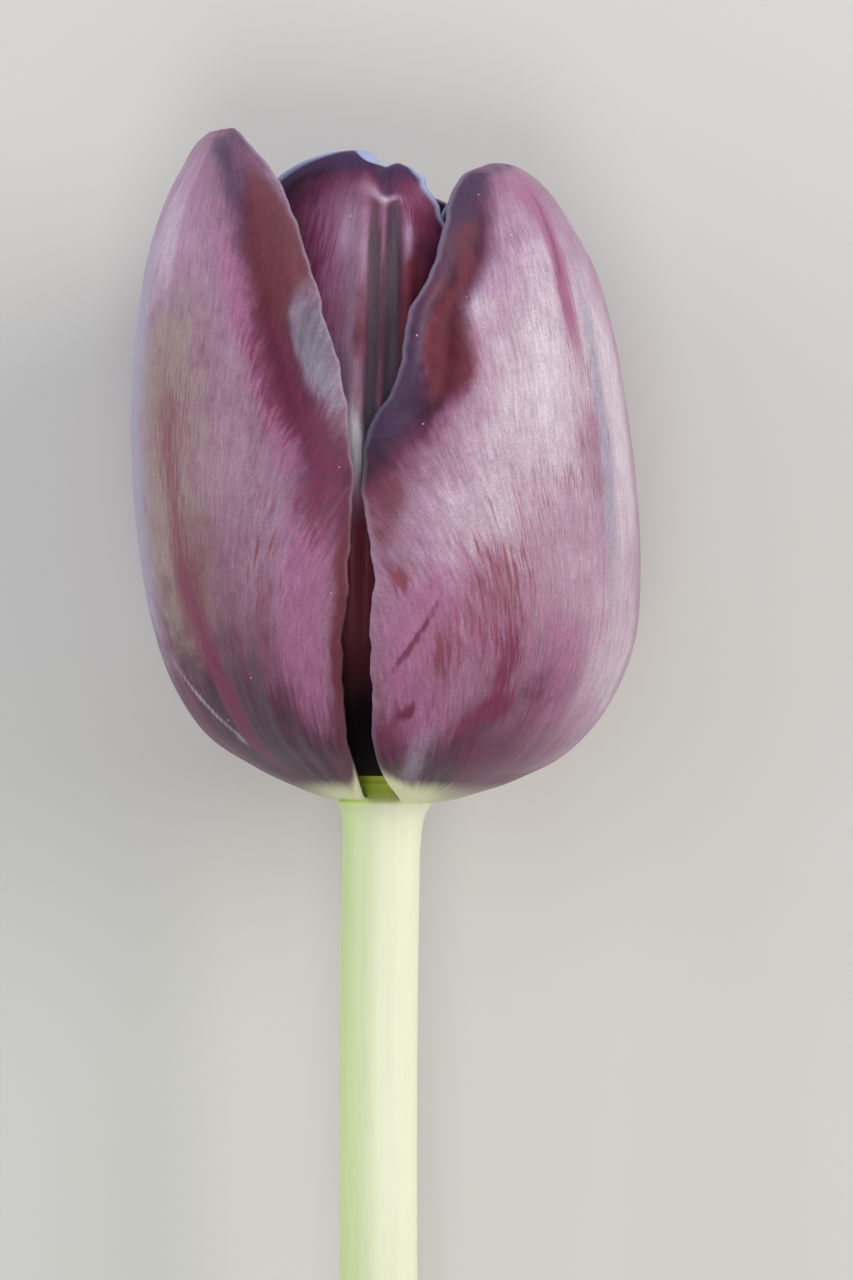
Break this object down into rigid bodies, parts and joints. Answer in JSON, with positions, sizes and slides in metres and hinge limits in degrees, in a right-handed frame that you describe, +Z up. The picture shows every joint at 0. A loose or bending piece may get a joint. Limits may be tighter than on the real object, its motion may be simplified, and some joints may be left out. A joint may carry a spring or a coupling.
{
  "type": "single late tulip, cut",
  "caption": "Cut tulip lying on its side: closed goblet-shaped bloom of dark maroon-purple tepals on a bare pale green stem with a clean cut end.",
  "frame": {"origin": "bottom centre of the flower's bounding box, on the surface that it lies on", "axes": "+Y along the stem from the cut end to the tip of the bloom, +Z up from the surface, +X to the right as seen from above"},
  "size_m": [0.0545, 0.3, 0.0545],
  "materials": {
    "outer_tepal": "satin petal tissue, dusty lilac bloom over dark maroon-purple",
    "inner_tepal": "satin petal tissue, dark maroon with an olive-grey midrib",
    "stem": "smooth waxy pale green",
    "pistil": "smooth pale green ovary, creamy stigma",
    "stamen": "matt dark violet, dusty"
  },
  "bodies": {
    "root": {"stem": "stem", "tepal_outer_left": "outer_tepal", "tepal_outer_right": "outer_tepal", "tepal_outer_under": "outer_tepal", "tepal_inner_front": "inner_tepal", "tepal_inner_right": "inner_tepal", "tepal_inner_left": "inner_tepal", "pistil": "pistil", "stamen_1": "stamen", "stamen_2": "stamen", "stamen_3": "stamen", "stamen_4": "stamen", "stamen_5": "stamen", "stamen_6": "stamen"}
  },
  "joints": []
}
